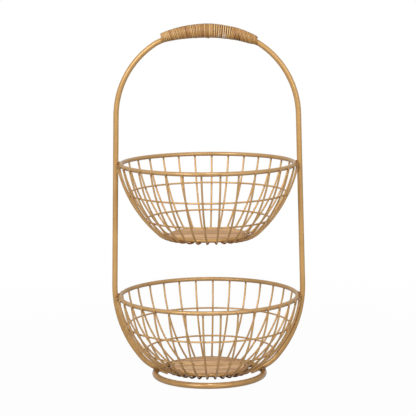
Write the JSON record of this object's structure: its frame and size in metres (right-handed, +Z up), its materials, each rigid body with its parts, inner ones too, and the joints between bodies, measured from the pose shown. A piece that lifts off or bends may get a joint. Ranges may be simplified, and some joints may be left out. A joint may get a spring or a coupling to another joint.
{
  "type": "tiered wire basket",
  "caption": "Tiered wire basket with ribbed wire bowls between the uprights of one bent rod, wooden discs in the bowls, and a rattan-wound carrying grip.",
  "frame": {"origin": "on the floor, at the centre of the ring that the basket stands on", "axes": "+Z up, -Y towards the viewer of the picture, X along the line between the uprights"},
  "size_m": [0.3048, 0.2923, 0.5574],
  "materials": {
    "gold_wire": "semi-gloss gold paint",
    "disc_wood": "planed, thin clear oil",
    "rattan": "natural peel, low sheen"
  },
  "bodies": {
    "basket": {"frame_rod": "gold_wire", "frame_welds": "gold_wire", "base_ring": "gold_wire", "upper_rim": "gold_wire", "upper_first_hoop": "gold_wire", "upper_second_hoop": "gold_wire", "upper_base_hoop": "gold_wire", "lower_rim": "gold_wire", "lower_first_hoop": "gold_wire", "lower_second_hoop": "gold_wire", "lower_base_hoop": "gold_wire", "upper_front_ribs_1": "gold_wire", "upper_front_ribs_2": "gold_wire", "upper_front_ribs_3": "gold_wire", "upper_front_ribs_4": "gold_wire", "upper_front_ribs_5": "gold_wire", "upper_front_ribs_6": "gold_wire", "upper_front_ribs_7": "gold_wire", "upper_front_ribs_8": "gold_wire", "upper_front_ribs_9": "gold_wire", "upper_back_ribs_1": "gold_wire", "upper_back_ribs_2": "gold_wire", "upper_back_ribs_3": "gold_wire", "upper_back_ribs_4": "gold_wire", "upper_back_ribs_5": "gold_wire", "upper_back_ribs_6": "gold_wire", "upper_back_ribs_7": "gold_wire", "upper_back_ribs_8": "gold_wire", "lower_front_ribs_1": "gold_wire", "lower_front_ribs_2": "gold_wire", "lower_front_ribs_3": "gold_wire", "lower_front_ribs_4": "gold_wire", "lower_front_ribs_5": "gold_wire", "lower_front_ribs_6": "gold_wire", "lower_front_ribs_7": "gold_wire", "lower_front_ribs_8": "gold_wire", "lower_front_ribs_9": "gold_wire", "lower_back_ribs_1": "gold_wire", "lower_back_ribs_2": "gold_wire", "lower_back_ribs_3": "gold_wire", "lower_back_ribs_4": "gold_wire", "lower_back_ribs_5": "gold_wire", "lower_back_ribs_6": "gold_wire", "lower_back_ribs_7": "gold_wire", "lower_back_ribs_8": "gold_wire", "grip_core": "rattan", "grip_winding": "rattan"},
    "upper_disc": {"upper_disc": "disc_wood"},
    "lower_disc": {"lower_disc": "disc_wood"}
  },
  "joints": [
    {"name": "upper_disc_lift", "type": "slide", "parent": "basket", "child": "upper_disc", "axis": [0, 0, 1], "range_m": [0, 0.125]},
    {"name": "lower_disc_lift", "type": "slide", "parent": "basket", "child": "lower_disc", "axis": [0, 0, 1], "range_m": [0, 0.125]}
  ]
}
